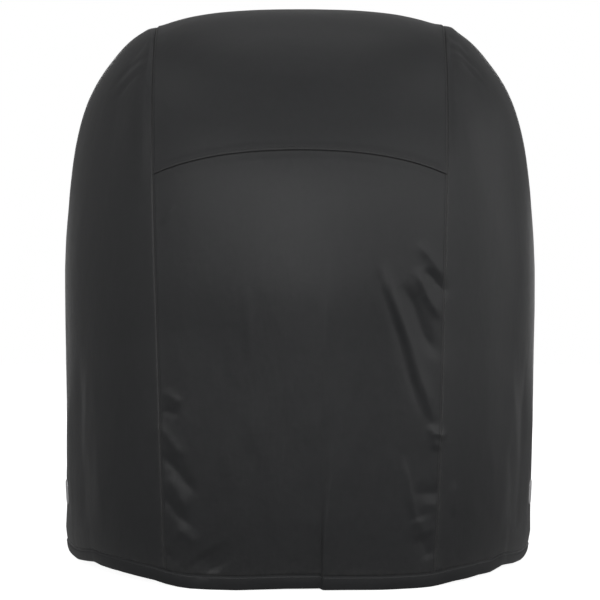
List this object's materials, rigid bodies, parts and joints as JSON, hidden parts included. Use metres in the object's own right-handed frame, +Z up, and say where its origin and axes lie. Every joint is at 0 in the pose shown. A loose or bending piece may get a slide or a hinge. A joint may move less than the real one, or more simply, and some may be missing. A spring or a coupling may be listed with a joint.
{
  "type": "grill cover",
  "caption": "Domed fabric cover for an outdoor grill, sewn from five panels, with a bound hem and side fastening straps inside.",
  "frame": {"origin": "on the ground under the middle of the cover", "axes": "+Z up to the crown, -Y towards the front, +X to the right side seen from the front"},
  "size_m": [0.91, 0.8095, 1.05],
  "materials": {
    "cover_fabric": "coated polyester, fine plain weave, soft sheen",
    "hem_fabric": "the same polyester folded double and stitched",
    "seam_tape": "matte woven binding",
    "webbing": "ribbed polypropylene webbing",
    "loop_pile": "soft brushed loops",
    "hook_tape": "fine moulded hooks",
    "badge_metal": "satin silver",
    "label_satin": "woven satin"
  },
  "bodies": {
    "cover": {"front_panel": "cover_fabric", "top_panel": "cover_fabric", "back_panel": "cover_fabric", "left_side_panel": "cover_fabric", "right_side_panel": "cover_fabric", "front_hem": "hem_fabric", "back_hem": "hem_fabric", "left_hem": "hem_fabric", "right_hem": "hem_fabric", "left_seam_tape": "seam_tape", "right_seam_tape": "seam_tape", "front_yoke_tape": "seam_tape", "back_yoke_tape": "seam_tape", "left_strap_anchor": "webbing", "right_strap_anchor": "webbing", "left_loop_patch": "loop_pile", "right_loop_patch": "loop_pile", "left_badge": "badge_metal", "right_badge": "badge_metal", "care_label": "label_satin"},
    "left_strap_body": {"left_strap": "webbing", "left_strap_hook": "hook_tape"},
    "right_strap_body": {"right_strap": "webbing", "right_strap_hook": "hook_tape"}
  },
  "joints": [
    {"name": "left_strap_swing", "type": "hinge", "parent": "cover", "child": "left_strap_body", "pos_m": [-0.40617, -0.13586, 0.0466], "axis": [0, 0, 1], "range_deg": [-110, 0]},
    {"name": "right_strap_swing", "type": "hinge", "parent": "cover", "child": "right_strap_body", "pos_m": [0.40617, -0.13586, 0.0466], "axis": [0, 0, 1], "range_deg": [0, 110]}
  ]
}
